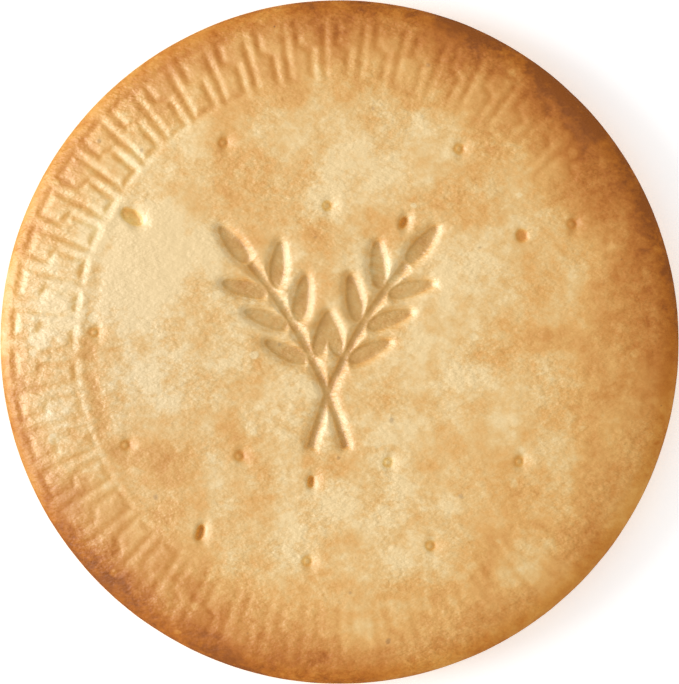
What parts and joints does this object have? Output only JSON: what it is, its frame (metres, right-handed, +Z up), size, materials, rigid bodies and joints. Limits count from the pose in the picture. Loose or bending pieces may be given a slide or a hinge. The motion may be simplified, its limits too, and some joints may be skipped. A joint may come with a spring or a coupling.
{
  "type": "marie biscuit",
  "caption": "Thin round sweet biscuit with a pressed Greek-key border, docking pits and a crossed-wheat motif in the middle.",
  "frame": {"origin": "centre of the flat underside", "axes": "+Z up through the thickness towards the pressed face, +Y towards the top of the motif, +X to its right"},
  "size_m": [0.0646, 0.0652, 0.0063],
  "materials": {
    "baked_crust": "pale golden baked crust, matt with a faint gloss, browner towards the rim"
  },
  "bodies": {
    "root": {"biscuit": "baked_crust"}
  },
  "joints": []
}
